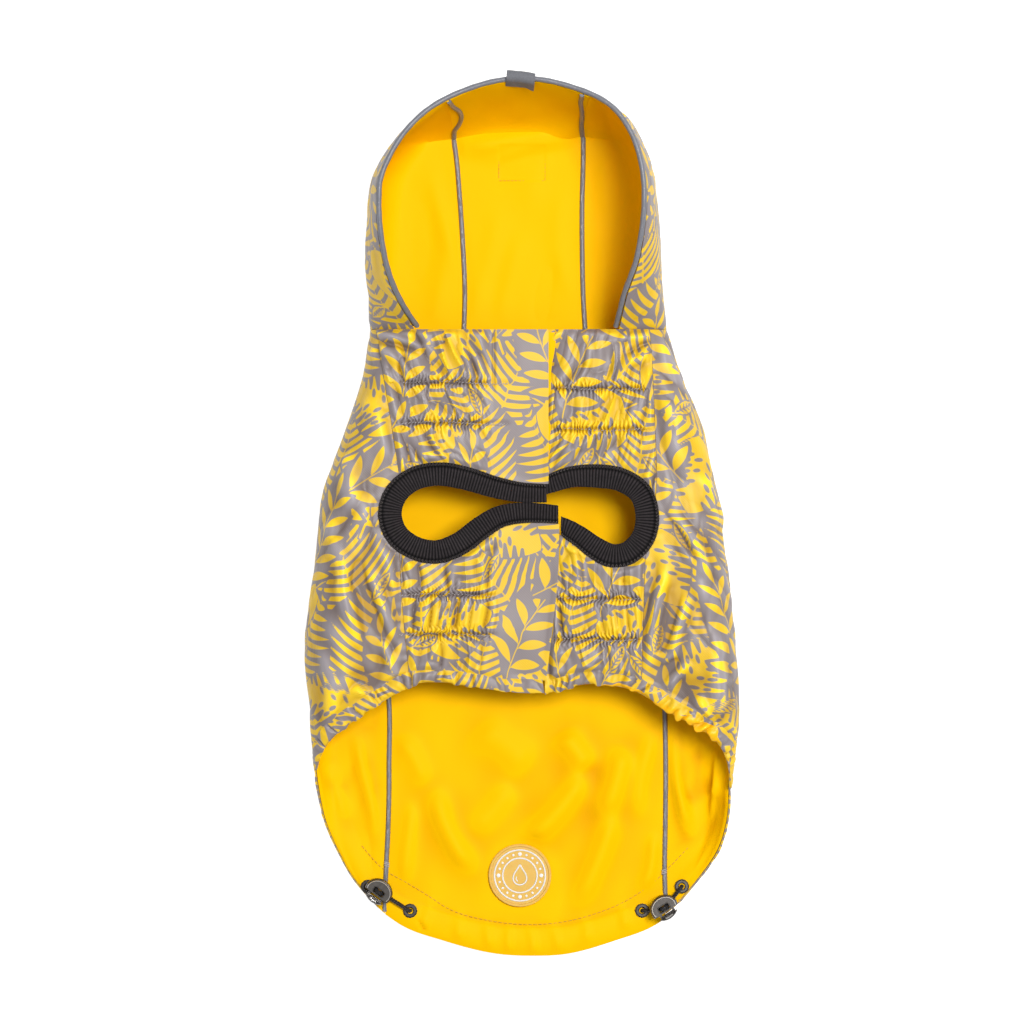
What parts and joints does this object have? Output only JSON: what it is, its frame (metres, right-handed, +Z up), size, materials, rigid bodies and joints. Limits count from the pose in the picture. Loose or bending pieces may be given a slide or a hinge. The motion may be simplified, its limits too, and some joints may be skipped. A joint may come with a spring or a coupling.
{
  "type": "dog raincoat",
  "caption": "Hooded, lined raincoat for a small dog, laid on its back with gathered belly, ribbed leg holes, piped seams and a drawcord hem with cord locks.",
  "frame": {"origin": "under the middle of the coat's box, on the surface that it lies on", "axes": "+Y along the coat towards the hood, +X to the right seen from above with the belly up, +Z up from the surface"},
  "size_m": [0.2154, 0.4366, 0.0634],
  "materials": {
    "printed_cloth": "matt woven polyester, printed in yellow on warm grey",
    "yellow_lining": "bright yellow coated lining with a soft sheen",
    "rib_knit": "near-black rib knit",
    "reflective_piping": "grey reflective tape over a cord core",
    "woven_tape": "grey woven tape, bare of any mark",
    "amber_rubber": "translucent amber rubber with a raised rim",
    "gunmetal": "dark plated metal",
    "black_cord": "black elastic cord"
  },
  "bodies": {
    "coat": {"back_panel": "printed_cloth", "side_left": "printed_cloth", "side_right": "printed_cloth", "belly_left_upper": "printed_cloth", "belly_left_lower": "printed_cloth", "belly_right_upper": "printed_cloth", "belly_right_lower": "printed_cloth", "belly_hem_left": "printed_cloth", "belly_hem_right": "printed_cloth", "hood_side_left": "printed_cloth", "hood_side_right": "printed_cloth", "hood_crown": "printed_cloth", "back_lining": "yellow_lining", "side_lining_left": "yellow_lining", "side_lining_right": "yellow_lining", "hood_side_lining_left": "yellow_lining", "hood_side_lining_right": "yellow_lining", "hood_crown_lining": "yellow_lining", "leg_rib_left": "rib_knit", "leg_rib_right": "rib_knit", "hood_rim_binding": "reflective_piping", "back_piping_left": "reflective_piping", "back_piping_right": "reflective_piping", "hood_piping_left": "reflective_piping", "hood_piping_right": "reflective_piping", "hood_tape_tab": "woven_tape", "rubber_badge": "amber_rubber", "eyelet_left_inner": "gunmetal", "eyelet_left_outer": "gunmetal", "eyelet_right_inner": "gunmetal", "eyelet_right_outer": "gunmetal", "cord_lock_left": "gunmetal", "cord_lock_right": "gunmetal", "drawcord_left": "black_cord", "drawcord_right": "black_cord"},
    "lock_button_left": {"lock_button_left": "gunmetal"},
    "lock_button_right": {"lock_button_right": "gunmetal"}
  },
  "joints": [
    {"name": "lock_button_left_press", "type": "slide", "parent": "coat", "child": "lock_button_left", "axis": [0.6004, 0.7997, 0], "range_m": [0, 0.002], "stiffness_N_per_m": 200, "springref_m": -0.002},
    {"name": "lock_button_right_press", "type": "slide", "parent": "coat", "child": "lock_button_right", "axis": [-0.5519, 0.8339, 0], "range_m": [0, 0.002], "stiffness_N_per_m": 200, "springref_m": -0.002}
  ]
}
